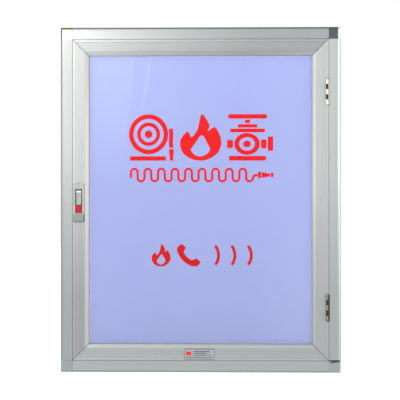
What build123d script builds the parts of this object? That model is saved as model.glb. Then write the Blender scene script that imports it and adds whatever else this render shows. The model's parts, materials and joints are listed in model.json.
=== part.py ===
"""Standpipe (fire hydrant) cabinet: a sheet-steel box with an extruded aluminium front frame, a glazed door
on two butt hinges, a sprung push-button latch, a landing valve and its stored kit.

Millimetres. Origin: centre of the four wall bolts, on the outer face of the back panel.
+X to the viewer's right, +Y into the wall, +Z up; the door is on the -Y side.
"""
from build123d import *
import math
import os

# ---------------------------------------------------------------- driving dimensions
WIDTH, HEIGHT, DEPTH = 650.0, 800.0, 240.0
FRONT = -DEPTH                      # plane of the door's face
HALF_W, HALF_H = WIDTH / 2, HEIGHT / 2

SHEET = 1.2                         # box sheet thickness
SHEET_INSET = 1.3                   # box sheet behind the frame's outer face
SHEET_FRONT = FRONT + 24.1          # front edge of the box sheets
BACK_FLANGE = 15.0

FRAME_FACE = 27.0                   # width of the outer frame strip
FRAME_STOP = 36.0                   # reach of the door stop behind the door
STOP_FRONT, STOP_BACK = 22.0, 24.0  # depth of the door stop behind the face
FRAME_EDGE = [(0, 5.4), (3.2, 1.9), (7.0, 0.7)]     # (from the outer face, depth) of the eased outer edge
CORNER_GAP = 0.35                   # joint between a corner block and a strip
LOOSE_GAP = 1.7                     # wider joint at the bottom of the right-hand strip

DOOR_GAP = 0.8                      # between the door and the outer frame
DOOR_FACE = 37.5                    # width of a door rail, bevel included
DOOR_DEPTH = 20.0
BEVEL = 8.8                         # width of the inner bevel
GROOVES = (7.6, 14.0, 20.4, 26.6)   # decorative grooves, from the door's edge
MITRE_GAP = 0.3
DOOR_X = HALF_W - FRAME_FACE - DOOR_GAP
DOOR_Z = HALF_H - FRAME_FACE - DOOR_GAP
GLASS_EDGE = 27.2                   # edge of the glass, from the door's edge
GLASS_FRONT, GLASS_T, BACKING_T = 7.2, 4.0, 1.0

HINGE_Z = 250.0                     # hinges, above and below the middle
HINGE_H = 60.0
HINGE_LEAF = 1.2
PIN_X, PIN_Y, PIN_R = 293.4, FRONT - 1.8, 1.2
BARREL_R = 2.2
LEAF_SPLIT = 296.5                  # between the two leaves, in the gap beside the door
NOTCH_X = (290.6, 300.0)            # slot that clears the barrel and the frame leaf's flange
NOTCH_HALF = 32.0

LATCH_X, LATCH_Z = -282.7, -6.8     # centre of the latch's window and of its bezel

VALVE_X, VALVE_Y = -185.0, -101.2   # 140 mm from the box's side, 100 mm from its back
VALVE_Z = -336.0                    # lower end of the valve's inlet
THREAD_R = 36.1                     # pipe thread G 2 1/2, minor radius
OUTLET_Z = VALVE_Z + 66.0

CRADLE_X, CRADLE_Z, CRADLE_R = 45.0, 95.0, 155.0
NOZZLE_X, NOZZLE_Y = 262.0, -72.0
CALL_X, CALL_Z = -232.0, 255.0
BOLTS_X, BOLTS_Z, BOLT_HOLE_R = 540.0, 680.0, 5.25

LEFT, RIGHT, AHEAD, BACK, UP, DOWN = (
    (-1, 0, 0), (1, 0, 0), (0, -1, 0), (0, 1, 0), (0, 0, 1), (0, 0, -1))
SIDES = {"bottom": 0, "left": 90, "top": 180, "right": -90}

nodes = {}


# ---------------------------------------------------------------- helpers
def block(x, y, z):
    """A box from three (low, high) spans."""
    size = [span[1] - span[0] for span in (x, y, z)]
    middle = [(span[0] + span[1]) / 2 for span in (x, y, z)]
    return Pos(*middle) * Box(*size)


def rod(start, direction, radius, length):
    """A cylinder from a point, along a direction."""
    base = Plane(origin=start, z_dir=direction)
    return base * Cylinder(radius, length, align=(Align.CENTER, Align.CENTER, Align.MIN))


def tube(start, direction, outer, inner, length):
    return rod(start, direction, outer, length) - rod(start, direction, inner, length)


def turned(start, direction, outline):
    """A solid of revolution from (radius, height) points, standing on a point along a direction."""
    profile = Plane.XZ * Polygon(*outline, align=None)
    return Plane(origin=start, z_dir=direction) * revolve(profile, Axis.Z)


def hexagon(start, direction, across_flats, length):
    base = Plane(origin=start, z_dir=direction)
    sketch = RegularPolygon(across_flats / 2, 6, major_radius=False)
    return base * extrude(sketch, amount=length)


def join(pieces):
    """One node from several separate solids."""
    return Compound(children=[solid for piece in pieces for solid in piece.solids()])


def fused(pieces):
    whole = pieces[0]
    for piece in pieces[1:]:
        whole = whole + piece
    return whole


def side_bar(section, reach, half, gap=0.0):
    """A mitred bar on the bottom side: section holds (inward, depth) points from the outer front edge."""
    inner = max(point[0] for point in section[0]) + 5
    faces = []
    for outline in section:
        faces.append(Plane.YZ * Polygon(*[(FRONT + v, u - reach) for u, v in outline], align=None))
    face = faces[0]
    for hole in faces[1:]:
        face = face - hole
    bar = extrude(face, amount=half + 1, both=True)
    cut = gap / math.sqrt(2)
    trapezoid = Plane.XZ * Polygon(
        (cut - half, -reach), (half - cut, -reach),
        (half - inner - cut, inner - reach), (inner + cut - half, inner - reach), align=None)
    return bar & extrude(trapezoid, amount=DEPTH + 20, both=True)


def on_side(shape, side):
    return Rot(0, SIDES[side], 0) * shape


def reaches(side, across, up):
    """(distance from the centre to that side, half its length)."""
    return (up, across) if side in ("bottom", "top") else (across, up)


# ---------------------------------------------------------------- outer frame
def frame_section():
    outline = FRAME_EDGE + [
        (FRAME_FACE, 0), (FRAME_FACE, STOP_FRONT), (FRAME_STOP, STOP_FRONT), (FRAME_STOP, STOP_BACK),
        (4.1, STOP_BACK), (4.1, 34), (2.6, 34), (2.6, STOP_BACK), (1.2, STOP_BACK), (1.2, 34), (0, 34)]
    chamber = [(1.6, 6.2), (4.3, 3.4), (7.8, 2.3), (22.5, 2.0), (25.4, 5.0), (25.4, 22.4), (1.6, 22.4)]
    return [outline, chamber]


def frame_strip(side):
    reach, half = reaches(side, HALF_W, HALF_H)
    bar = side_bar(frame_section(), reach, half)
    end = FRAME_FACE + CORNER_GAP
    gap_left = LOOSE_GAP if side == "right" else 0.0
    corner = ((-half, end + gap_left - half), (half - end, half))
    for span in corner:
        bar = bar - block(span, (FRONT, FRONT + 40), (-reach, FRAME_FACE - reach))
    return on_side(bar, side)


def corner_block(side_x, side_z):
    """A square block in the frame's corner, with a leg into each strip."""
    prism_u = FRAME_EDGE + [(FRAME_FACE, 0), (FRAME_FACE, STOP_BACK), (0, STOP_BACK)]
    lying = Plane.YZ * Polygon(*[(FRONT + v, u) for u, v in prism_u], align=None)
    standing = Plane.XY * Polygon(*[(u, FRONT + v) for u, v in prism_u], align=None)
    along_x = extrude(lying, amount=FRAME_FACE, dir=RIGHT)
    along_z = extrude(standing, amount=FRAME_FACE, dir=UP)
    leg_y, leg_u, leg_end = (FRONT + 5.4, FRONT + 22.0), (5.6, 25.0), FRAME_FACE + 26
    solid = fused([along_x & along_z, block((FRAME_FACE - 1, leg_end), leg_y, leg_u),
                   block(leg_u, leg_y, (FRAME_FACE - 1, leg_end))])
    placed = Pos(-HALF_W, 0, -HALF_H) * solid
    if side_x > 0:
        placed = mirror(placed, about=Plane.YZ)
    if side_z > 0:
        placed = mirror(placed, about=Plane.XY)
    return placed


def frame_rivet_places():
    """(point on the sheet's outer face, inward direction) of the pop rivets that hold frame to box."""
    y = FRONT + 29
    x, z = HALF_W, HALF_H
    places = []
    for offset in (-240, 0, 240):
        places += [((-x, y, offset), RIGHT), ((x, y, offset), LEFT)]
    for offset in (-190, 0, 190):
        places += [((offset, y, -z), UP), ((offset, y, z), DOWN)]
    return places


def build_frame():
    shanks = [rod(point, way, 1.6, 6.5) for point, way in frame_rivet_places()]
    tails = []
    for point, way in frame_rivet_places():
        inner = tuple(p + w * 4.1 for p, w in zip(point, way))
        tails.append(turned(inner, way, [(0, 0), (3.2, 0), (2.6, 1.3), (1.6, 2.2), (0, 2.4)]))
    for side in SIDES:
        strip = frame_strip(side)
        for shank in shanks:
            strip = strip - shank
        if side == "right":
            for z in (-HINGE_Z, HINGE_Z):
                strip = strip - hinge_notch(z)
                for rivet in hinge_rivets(z, "frame"):
                    strip = strip - rivet
        if side == "left":
            for rivet in keeper_rivets():
                strip = strip - rivet
        nodes[f"frame_{side}"] = strip
    nodes["corner_blocks"] = join([corner_block(sx, sz) for sx in (-1, 1) for sz in (-1, 1)])
    short = [rod(point, way, 1.6, 5.0) for point, way in frame_rivet_places()]
    rivets = [shank + tail for shank, tail in zip(short, tails)] + keeper_rivets()
    for z in (-HINGE_Z, HINGE_Z):
        rivets += hinge_rivets(z, "frame")
    nodes["frame_rivets"] = join(rivets)
    return shanks


# ---------------------------------------------------------------- sheet box
def knockout(sheet, centre, way, radius, thickness=SHEET):
    """A pressed knock-out: a ring groove half-way through the sheet, from its outer face."""
    return sheet - tube(centre, way, radius + 0.9, radius, thickness * 0.55)


def build_box(shanks):
    x_out, z_out = HALF_W - SHEET_INSET, HALF_H - SHEET_INSET
    x_in, z_in = x_out - SHEET, z_out - SHEET
    deep = (SHEET_FRONT, 0)
    left = block((-x_out, -x_in), deep, (-z_out, z_out))
    right = block((x_in, x_out), deep, (-z_out, z_out))
    top = block((-x_in, x_in), deep, (z_in, z_out))
    bottom = block((-x_in, x_in), deep, (-z_out, -z_in))

    left = knockout(left, (-x_out, VALVE_Y, OUTLET_Z), RIGHT, 44)
    right = knockout(right, (x_out, VALVE_Y, OUTLET_Z), LEFT, 44)
    right = knockout(right, (x_out, VALVE_Y, CALL_Z), LEFT, 14)
    top = knockout(top, (VALVE_X, VALVE_Y, z_out), DOWN, 44)
    bottom = knockout(bottom, (-VALVE_X, VALVE_Y, -z_out), UP, 44)
    top = top - rod((CALL_X, GLAND_Y, z_out + 1), DOWN, GLAND_R, 4)
    bottom = bottom - rod((VALVE_X, VALVE_Y, -z_out - 1), UP, GROMMET_R, 4)

    x_b, z_b = x_in - 0.1, z_in - 0.1
    flange_y = (-SHEET - BACK_FLANGE, -SHEET)
    back = block((-x_b, x_b), (-SHEET, 0), (-z_b, z_b))
    for sign in (-1, 1):
        spans = sorted((sign * x_b, sign * (x_b - SHEET)))
        back = back + block(spans, flange_y, (-z_b + 12, z_b - 12))
        spans = sorted((sign * z_b, sign * (z_b - SHEET)))
        back = back + block((-x_b + 12, x_b - 12), flange_y, spans)
        for up in (-1, 1):
            back = back - rod((sign * BOLTS_X / 2, 1, up * BOLTS_Z / 2), AHEAD, BOLT_HOLE_R, 5)
    for point in cradle_feet() + clip_feet() + call_screws():
        back = back - rod((point[0], 1, point[1]), AHEAD, 2.0, 5)

    for name, sheet in (("left", left), ("right", right), ("top", top), ("bottom", bottom)):
        for shank in shanks:
            sheet = sheet - shank
        nodes[f"side_panel_{name}" if name in ("left", "right") else f"{name}_panel"] = sheet
    nodes["back_panel"] = back


# ---------------------------------------------------------------- hinges
def hinge_notch(z):
    """The slot that clears a hinge's barrel, in the door's edge and the frame's."""
    slot = block(NOTCH_X, (FRONT - 2, FRONT + 2.4), (z - NOTCH_HALF, z + NOTCH_HALF))
    return fillet(slot.edges().filter_by(Axis.Y), 3.6)


def hinge_rivets(z, leaf):
    """Flush rivets through a hinge leaf and the wall behind it."""
    made = []
    for offset in (-20, 0, 20):
        if leaf == "frame":
            start, way, wall = (LEAF_SPLIT + 0.3, FRONT + 10, z + offset), RIGHT, HINGE_LEAF + 1.6
        else:
            start, way, wall = (LEAF_SPLIT - 0.3, FRONT + 10, z + offset), LEFT, HINGE_LEAF + 3.4
        tail = tuple(p + w * wall for p, w in zip(start, way))
        made.append(rod(start, way, 2.0, wall) + rod(tail, way, 3.0, 1.0))
    return made


def hinge_leaf(z, side, knuckles, bore):
    """A leaf plate with its rolled knuckles; side is +1 on the frame and -1 on the door."""
    near, far = sorted((LEAF_SPLIT + side * 0.3, LEAF_SPLIT + side * (0.3 + HINGE_LEAF)))
    plate = block((near, far), (FRONT + 2.5, FRONT + 18.5), (z - HINGE_H / 2, z + HINGE_H / 2))
    if side > 0:
        flange = block((LEAF_SPLIT + 0.1, NOTCH_X[1] - 0.6), (FRONT - 0.9, FRONT + 0.1), (z - 29.7, z + 29.7))
        web = block((near, far), (FRONT - 0.9, FRONT + 2.5), (z - 29.7, z + 29.7))
        plate = plate + web + flange
    pitch = HINGE_H / 5
    for index in knuckles:
        low = z - HINGE_H / 2 + index * pitch + 0.15
        spans = (low, low + pitch - 0.3)
        plate = plate + rod((PIN_X, PIN_Y, low), UP, BARREL_R, pitch - 0.3)
        if side > 0:
            plate = plate + block((PIN_X + 1.4, far), (PIN_Y, FRONT - 0.6), spans)
        else:
            plate = plate + block((near, far), (PIN_Y, FRONT + 2.5), spans)
    plate = plate - rod((PIN_X, PIN_Y, z - HINGE_H), UP, bore, 2 * HINGE_H)
    for rivet in hinge_rivets(z, "frame" if side > 0 else "door"):
        plate = plate - rivet
    return plate


def build_hinges():
    pins = []
    for z in (-HINGE_Z, HINGE_Z):
        pin = rod((PIN_X, PIN_Y, z - HINGE_H / 2 - 0.6), UP, PIN_R, HINGE_H + 1.2)
        pins.append(fillet(pin.edges().filter_by(GeomType.CIRCLE), 0.5))
    heights = (-HINGE_Z, HINGE_Z)
    nodes["hinge_leaves_frame"] = join([hinge_leaf(z, 1, (0, 2, 4), PIN_R) for z in heights])
    nodes["hinge_leaves_door"] = join([hinge_leaf(z, -1, (1, 3), PIN_R + 0.06) for z in heights])
    nodes["hinge_pins"] = join(pins)


# ---------------------------------------------------------------- door
def door_section():
    face = [(0, 0)]
    for centre in GROOVES:
        face += [(centre - 1.5, 0), (centre - 0.7, 0.75), (centre + 0.7, 0.75), (centre + 1.5, 0)]
    bevel_start = DOOR_FACE - BEVEL
    outline = face + [
        (bevel_start, 0), (DOOR_FACE, 5.0), (DOOR_FACE, 6.2), (26, 6.2), (26, 13.2), (35.5, 13.2),
        (35.5, 14.6), (26, 14.6), (26, DOOR_DEPTH), (2.2, DOOR_DEPTH), (2.2, 1.6), (0, 1.6)]
    chamber = [(5.6, 4.8), (9.6, 2.6), (24.4, 2.6), (24.4, 18.4), (5.6, 18.4)]
    return [outline, chamber]


def gasket_section():
    return [[(26.05, 6.25), (37.9, 6.25), (37.9, 7.15), (27.1, 7.15), (27.1, 12.25), (36.0, 12.25),
             (36.0, 13.15), (26.05, 13.15)]]


def seal_section():
    """Foam strip on the door stop, measured from the outer frame's edge."""
    return [[(29.2, 20.3), (35.0, 20.3), (35.0, STOP_FRONT), (29.2, STOP_FRONT)]]


def corner_key(sx, sz):
    """An L-shaped key inside a mitred corner of the door."""
    near, far, reach = 6.0, 24.0, 62.0
    y = (FRONT + 5.2, FRONT + 18.0)
    key = block((near, reach), y, (near, far)) + block((near, far), y, (near, reach))
    placed = Pos(-DOOR_X, 0, -DOOR_Z) * key
    if sx > 0:
        placed = mirror(placed, about=Plane.YZ)
    if sz > 0:
        placed = mirror(placed, about=Plane.XY)
    return placed


def corner_screws():
    """Pan-head screws from the back of the door into the corner keys."""
    made = []
    for sx in (-1, 1):
        for sz in (-1, 1):
            for along_x, along_z in ((48, 15), (15, 48)):
                point = (sx * (DOOR_X - along_x), FRONT + DOOR_DEPTH, sz * (DOOR_Z - along_z))
                head = turned(point, BACK, [(0, 0), (3.4, 0), (3.2, 1.2), (2.2, 1.9), (0, 2.1)])
                slot = block((point[0] - 2.4, point[0] + 2.4), (point[1] + 1.3, point[1] + 3),
                             (point[2] - 0.4, point[2] + 0.4))
                made.append((head - slot) + rod(point, AHEAD, 1.6, 9.0))
    return made


def build_door():
    screws = corner_screws()
    keys = [corner_key(sx, sz) for sx in (-1, 1) for sz in (-1, 1)]
    for side in SIDES:
        reach, half = reaches(side, DOOR_X, DOOR_Z)
        bar = on_side(side_bar(door_section(), reach, half, MITRE_GAP), side)
        for screw in screws:
            bar = bar - screw
        if side == "right":
            for z in (-HINGE_Z, HINGE_Z):
                bar = bar - hinge_notch(z)
                for rivet in hinge_rivets(z, "door"):
                    bar = bar - rivet
        if side == "left":
            bar = bar - latch_cutout()
            for screw in latch_screws():
                bar = bar - screw
        nodes[f"door_rail_{side}" if side in ("bottom", "top") else f"door_stile_{side}"] = bar
    for screw in screws:
        keys = [key - screw for key in keys]
    nodes["door_corner_keys"] = join(keys)
    rivets = [rivet for z in (-HINGE_Z, HINGE_Z) for rivet in hinge_rivets(z, "door")]
    nodes["door_fixings"] = join(screws + rivets + latch_screws())

    gx, gz = DOOR_X - GLASS_EDGE, DOOR_Z - GLASS_EDGE
    y = FRONT + GLASS_FRONT
    nodes["glass_pane"] = block((-gx, gx), (y, y + GLASS_T), (-gz, gz))
    nodes["backing_sheet"] = block((-gx, gx), (y + GLASS_T, y + GLASS_T + BACKING_T), (-gz, gz))
    strips = [on_side(side_bar(gasket_section(), *reaches(side, DOOR_X, DOOR_Z)), side) for side in SIDES]
    nodes["glazing_gasket"] = join(strips)
    strips = [on_side(side_bar(seal_section(), *reaches(side, HALF_W, HALF_H)), side) for side in SIDES]
    nodes["door_seal"] = join(strips)

    plate_z = -DOOR_Z + 14.2
    plate = block((-38, 34), (FRONT - 0.5, FRONT), (plate_z - 13.2, plate_z + 13.2))
    nodes["rating_plate"] = fillet(plate.edges().filter_by(Axis.Y), 1.5)


# ---------------------------------------------------------------- latch
CASE_X = (-287.6, -252.0)
CASE_Z = (-30.0, 24.6)
WINDOW_X = (LATCH_X - 8.1, LATCH_X + 8.1)
WINDOW_Z = (-30.8, 25.0)
PIVOT = (LATCH_X, FRONT + 4.5, 17.0)
BOLT_Y = (FRONT + 25.5, FRONT + 29.5)
BOLT_Z = (-14.8, 1.2)


def latch_cutout():
    return block((LATCH_X - 9.5, LATCH_X + 9.5), (FRONT - 1, FRONT + 21), (-37, 31))


def latch_screws():
    made = []
    for z in (-41.0, 35.0):
        point = (-279.0, FRONT + DOOR_DEPTH + 1.5, z)
        head = turned(point, BACK, [(0, 0), (3.2, 0), (3.0, 1.2), (2.0, 1.9), (0, 2.0)])
        slot = block((point[0] - 2.4, point[0] + 2.4), (point[1] + 1.2, point[1] + 3), (z - 0.4, z + 0.4))
        made.append((head - slot) + rod(point, AHEAD, 1.5, 5.0))
    return made


def keeper_rivets():
    made = []
    for z in (-20.0, 6.4):
        point = (-HALF_W + 24, FRONT + STOP_BACK + 1.2, z)
        made.append(rod(point, AHEAD, 1.6, 3.4) + turned(point, BACK, [(0, 0), (3, 0), (2.2, 1.0), (0, 1.3)]))
    return made


def build_latch():
    bezel = block((LATCH_X - 12.9, LATCH_X + 13.1), (FRONT - 2.0, FRONT), (LATCH_Z - 45, LATCH_Z + 45))
    bezel = fillet(bezel.edges().filter_by(Axis.Y), 2.0)
    bezel = chamfer(bezel.faces().sort_by(Axis.Y)[0].edges(), 0.7)
    cup = block((LATCH_X - 9.2, LATCH_X + 9.2), (FRONT, FRONT + 19), (-36.5, 30.5))
    housing = bezel + cup
    housing = housing - block(WINDOW_X, (FRONT - 3, FRONT + 17.5), WINDOW_Z)
    housing = housing - block((LATCH_X - 3.2, LATCH_X + 3.2), (FRONT + 17, FRONT + 20), (-2, 22))
    housing = housing - rod((WINDOW_X[0] - 1.0, PIVOT[1], PIVOT[2]), RIGHT, 1.5, 18.2)
    nodes["latch_housing"] = housing

    paddle = block((LATCH_X - 6.2, LATCH_X + 6.2), (FRONT - 1.2, FRONT + 2.8), (-11.5, 21.5))
    paddle = fillet(paddle.edges().filter_by(Axis.Y), 1.2)
    paddle = fillet(paddle.faces().sort_by(Axis.Y)[0].edges(), 0.8)
    paddle = paddle - block((LATCH_X - 3.2, LATCH_X + 3.2), (FRONT - 2, FRONT - 0.5), (-8, 12))
    boss = rod((LATCH_X - 6.2, PIVOT[1], PIVOT[2]), RIGHT, 3.4, 12.4)
    tail = block((LATCH_X - 1.8, LATCH_X + 1.8), (PIVOT[1], FRONT + 27.5), (PIVOT[2] - 2, PIVOT[2] + 2))
    bore = rod((LATCH_X - 10, PIVOT[1], PIVOT[2]), RIGHT, 1.56, 20)
    nodes["latch_lever"] = paddle + boss + tail - bore
    nodes["latch_lever_pin"] = rod((WINDOW_X[0] - 1.0, PIVOT[1], PIVOT[2]), RIGHT, 1.5, 18.2)

    button = block((LATCH_X - 7.7, LATCH_X + 7.7), (FRONT - 1.4, FRONT + 7), (-30.4, -12.2))
    button = fillet(button.edges().filter_by(Axis.Y), 1.0)
    button = chamfer(button.faces().sort_by(Axis.Y)[0].edges(), 0.6)
    nodes["latch_button"] = button
    nodes["latch_button_spring"] = coil((LATCH_X, FRONT + 7.2, -21.3), BACK, 4.2, 0.8, 10.0, 4)

    case = block(CASE_X, (FRONT + DOOR_DEPTH, FRONT + 36), CASE_Z)
    case = fillet(case.faces().sort_by(Axis.Y)[-1].edges(), 2.0)
    case = case + block((CASE_X[0], -271.6), (FRONT + DOOR_DEPTH, FRONT + DOOR_DEPTH + 1.5), (-46, 40))
    case = case - block((CASE_X[0] + 1.2, CASE_X[1] - 1.2), (FRONT + 19, FRONT + 34.6), (-28.8, 23.4))
    case = case - block((CASE_X[0] - 1, CASE_X[0] + 2), (BOLT_Y[0] - 0.3, BOLT_Y[1] + 0.3),
                        (BOLT_Z[0] - 0.3, BOLT_Z[1] + 0.3))
    for screw in latch_screws():
        case = case - screw
    nodes["latch_case"] = case

    bolt = block((-297.0, -272.0), BOLT_Y, BOLT_Z)
    nodes["latch_bolt"] = chamfer(bolt.faces().sort_by(Axis.X)[0].edges().filter_by(Axis.Z), 1.2)
    nodes["latch_bolt_spring"] = coil((-271.8, (BOLT_Y[0] + BOLT_Y[1]) / 2, -6.8), RIGHT, 3.0, 0.7, 18.0, 6)

    keeper_y = (FRONT + STOP_BACK, FRONT + STOP_BACK + 1.2)
    keeper = block((-HALF_W + 20, -HALF_W + FRAME_STOP), keeper_y, (-26, 12.4))
    for rivet in keeper_rivets():
        keeper = keeper - rivet
    nodes["latch_keeper"] = keeper


def coil(start, direction, radius, wire, length, turns):
    """A compression spring."""
    path = Helix(pitch=(length - 2 * wire) / turns, height=length - 2 * wire, radius=radius)
    ring = Plane(origin=path @ 0, z_dir=path % 0) * Circle(wire / 2)
    return Plane(origin=start, z_dir=direction) * (Pos(0, 0, wire) * sweep(ring, path=path, is_frenet=True))


# ---------------------------------------------------------------- landing valve
GROMMET_R = 50.0
SOCKET_R = 44.0
GLAND_Y, GLAND_R = -60.0, 10.25
SEAT_Z = VALVE_Z + 40
BONNET_Z = VALVE_Z + 118
WHEEL_Z = VALVE_Z + 184


def valve_axis(z):
    return (VALVE_X, VALVE_Y, z)


def valve_body():
    globe = Pos(VALVE_X, VALVE_Y, OUTLET_Z)
    inlet = hexagon(valve_axis(VALVE_Z), UP, 88, 22) + rod(valve_axis(VALVE_Z), UP, 42, 45)
    outlet = rod((VALVE_X, VALVE_Y, OUTLET_Z), AHEAD, 42, 66)
    outlet_lip = rod((VALVE_X, VALVE_Y - 62, OUTLET_Z), AHEAD, 46, 14)
    neck = rod(valve_axis(OUTLET_Z), UP, 40, BONNET_Z - OUTLET_Z)
    body = globe * Sphere(56) + inlet + outlet + neck + outlet_lip
    chamber = (globe * Sphere(49)) & block((VALVE_X - 60, VALVE_X + 60), (VALVE_Y - 60, VALVE_Y + 60),
                                           (SEAT_Z, VALVE_Z + 130))
    body = body - chamber
    body = body - rod(valve_axis(VALVE_Z - 1), UP, THREAD_R, 23)
    body = body - rod(valve_axis(VALVE_Z), UP, 31, 60)
    body = body - rod(valve_axis(OUTLET_Z), UP, 33, 80)
    body = body - rod((VALVE_X, VALVE_Y, OUTLET_Z), AHEAD, 32.5, 90)
    return body - rod((VALVE_X, VALVE_Y - 60, OUTLET_Z), AHEAD, 37.6, 30)


def handwheel():
    wheel = turned(valve_axis(WHEEL_Z - 4), UP, [(0, 0), (15, 0), (16.5, 2), (16.5, 14), (13, 18), (0, 18)])
    for index in range(5):
        angle = math.radians(54 + 72 * index)
        way = (math.cos(angle), math.sin(angle), 0)
        wheel = wheel + rod((VALVE_X, VALVE_Y, WHEEL_Z + 5), way, 4.6, 52)
    wheel = wheel + Pos(*valve_axis(WHEEL_Z + 7)) * Torus(56, 6.5)
    square = block(
        (VALVE_X - 5.05, VALVE_X + 5.05), (VALVE_Y - 5.05, VALVE_Y + 5.05), (WHEEL_Z - 6, WHEEL_Z + 20))
    return wheel - square


def outlet_coupling():
    """The hose adapter on the valve's outlet: a spigot, a stop flange and two claws round the mouth."""
    y = VALVE_Y - 60.5
    body = turned((VALVE_X, y, OUTLET_Z), AHEAD, [
        (30, 0), (37.5, 0), (37.5, 15.7), (49, 15.7), (49, 20), (41, 23), (41, 30), (45, 33), (45, 45),
        (30, 45)])
    body = body - rod((VALVE_X, y - 41, OUTLET_Z), AHEAD, 36.2, 5)
    for sign in (-1, 1):
        claw = tube((VALVE_X, y - 33, OUTLET_Z), AHEAD, 50, 44, 15)
        half_open = block((VALVE_X - 60, VALVE_X + 60), (y - 60, y), (OUTLET_Z - 22, OUTLET_Z + 22))
        side = block(sorted((VALVE_X, VALVE_X + sign * 60)), (y - 60, y), (OUTLET_Z - 60, OUTLET_Z + 60))
        body = body + (claw & half_open & side)
        lip = tube((VALVE_X, y - 45.5, OUTLET_Z), AHEAD, 50, 41, 2.5)
        body = body + (lip & half_open & side)
    return body


def build_valve():
    nodes["inlet_socket"] = tube(valve_axis(-HALF_H + 0.6), UP, SOCKET_R, THREAD_R, 49.4) + tube(
        valve_axis(-HALF_H + 24.6), UP, THREAD_R + 1, 32, 1.2)
    nipple = (-HALF_H + 26, VALVE_Z + 21.5)
    nodes["inlet_nipple"] = tube(valve_axis(nipple[0]), UP, THREAD_R - 0.05, 31, nipple[1] - nipple[0])
    low = -HALF_H + 0.1
    sheet_low, sheet_high = -HALF_H + SHEET_INSET, -HALF_H + SHEET_INSET + SHEET
    grommet = tube(valve_axis(low), UP, 54, SOCKET_R, sheet_low - low)
    grommet = grommet + tube(valve_axis(sheet_low), UP, GROMMET_R, SOCKET_R, SHEET)
    nodes["inlet_grommet"] = grommet + tube(valve_axis(sheet_high), UP, 54, SOCKET_R, 2.0)
    nodes["valve_body"] = valve_body()
    nodes["valve_seat"] = tube(valve_axis(SEAT_Z), UP, 37, 31, 3.0)
    disc = turned(valve_axis(SEAT_Z + 6), UP, [(0, 0), (35, 0), (35, 4), (14, 8), (13, 16), (0, 16)])
    nodes["valve_disc"] = disc - rod(valve_axis(SEAT_Z + 14), UP, 8.06, 20)
    nodes["valve_disc_rubber"] = rod(valve_axis(SEAT_Z + 3.1), UP, 35, 2.9)
    bonnet = hexagon(valve_axis(BONNET_Z), UP, 78, 11) + rod(valve_axis(BONNET_Z - 16), UP, 32.9, 16)
    bonnet = bonnet + turned(valve_axis(BONNET_Z + 11), UP, [(0, 0), (26, 0), (19, 6), (18, 20), (0, 20)])
    nodes["valve_bonnet"] = bonnet - rod(valve_axis(BONNET_Z - 20), UP, 8.08, 60)
    gland = hexagon(valve_axis(BONNET_Z + 31), UP, 30, 11)
    nodes["valve_gland_nut"] = gland - rod(valve_axis(BONNET_Z + 30), UP, 8.08, 20)
    stem = rod(valve_axis(SEAT_Z + 14.1), UP, 8.0, WHEEL_Z - 4 - SEAT_Z - 14.1)
    square = block((VALVE_X - 5, VALVE_X + 5), (VALVE_Y - 5, VALVE_Y + 5), (WHEEL_Z - 4, WHEEL_Z + 14))
    nodes["valve_stem"] = stem + square + rod(valve_axis(WHEEL_Z + 14), UP, 4.0, 12)
    nodes["handwheel"] = handwheel()
    nut = hexagon(valve_axis(WHEEL_Z + 14.1), UP, 17, 8)
    nodes["handwheel_nut"] = chamfer(nut.faces().sort_by(Axis.Z)[-1].edges(), 0.8) - rod(
        valve_axis(WHEEL_Z + 14), UP, 4.0, 20)
    nodes["outlet_coupling"] = outlet_coupling()
    nodes["outlet_seal"] = tube((VALVE_X, VALVE_Y - 101.6, OUTLET_Z), AHEAD, 36.1, 30.1, 4.6)


# ---------------------------------------------------------------- stored kit
def cradle_feet():
    """(x, z) of the screws that hold the hose cradle to the back panel."""
    return [(CRADLE_X + dx, CRADLE_Z + dz) for dx, dz in ((-120, -120), (120, -120), (-60, -190), (60, -190))]


def around(angle, radius=CRADLE_R):
    turn = math.radians(angle)
    return CRADLE_X + radius * math.cos(turn), CRADLE_Z + radius * math.sin(turn)


def build_cradle():
    """A wire cradle for a rolled hose: two hoops, five cross rods and two strap feet."""
    wire, cross, near, far = 4.0, 3.2, -40.0, -160.0
    parts = []
    for y in (near, far):
        lane = Plane(origin=(CRADLE_X, y, CRADLE_Z), x_dir=(1, 0, 0), z_dir=(0, -1, 0))
        arc = CenterArc((0, 0), CRADLE_R, 190, 160)
        ring = Plane(origin=arc @ 0, z_dir=arc % 0) * Circle(wire)
        parts.append(lane * sweep(ring, path=arc))
    for angle in (198, 234, 270, 306, 342):
        x, z = around(angle)
        parts.append(rod((x, near, z), AHEAD, cross, near - far))
    for sign in (-1, 1):
        low, high = sorted((CRADLE_X + sign * 50, CRADLE_X + sign * 70))
        strap = block((low, high), (-4.2, -SHEET), (CRADLE_Z - 200, CRADLE_Z - 136))
        arm = block((low, high), (near - 2, -SHEET), (CRADLE_Z - 144, CRADLE_Z - 141))
        ear_low, ear_high = sorted((CRADLE_X + sign * 105, CRADLE_X + sign * 130))
        ear = block((ear_low, ear_high), (-4.2, -SHEET), (CRADLE_Z - 130, CRADLE_Z - 100))
        x, z = around(270 + sign * 47)
        strut = rod((x, -SHEET - 1, z), AHEAD, cross, -near - SHEET - 1)
        parts += [strap, arm, ear, strut]
    cradle = fused(parts)
    screws = []
    for x, z in cradle_feet():
        cradle = cradle - rod((x, 1, z), AHEAD, 2.0, 10)
        screws.append(rod((x, -0.2, z), AHEAD, 2.0, 4.0) + turned(
            (x, -4.2, z), AHEAD, [(0, 0), (4, 0), (3.6, 1.4), (2.2, 2.2), (0, 2.4)]))
    nodes["hose_cradle"] = cradle
    return screws


CLIPS = ((-60.0, 27.0), (110.0, 20.0))      # height and radius of the nozzle's two lands


def clip_feet():
    return [(NOZZLE_X, z) for z, _ in CLIPS]


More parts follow.
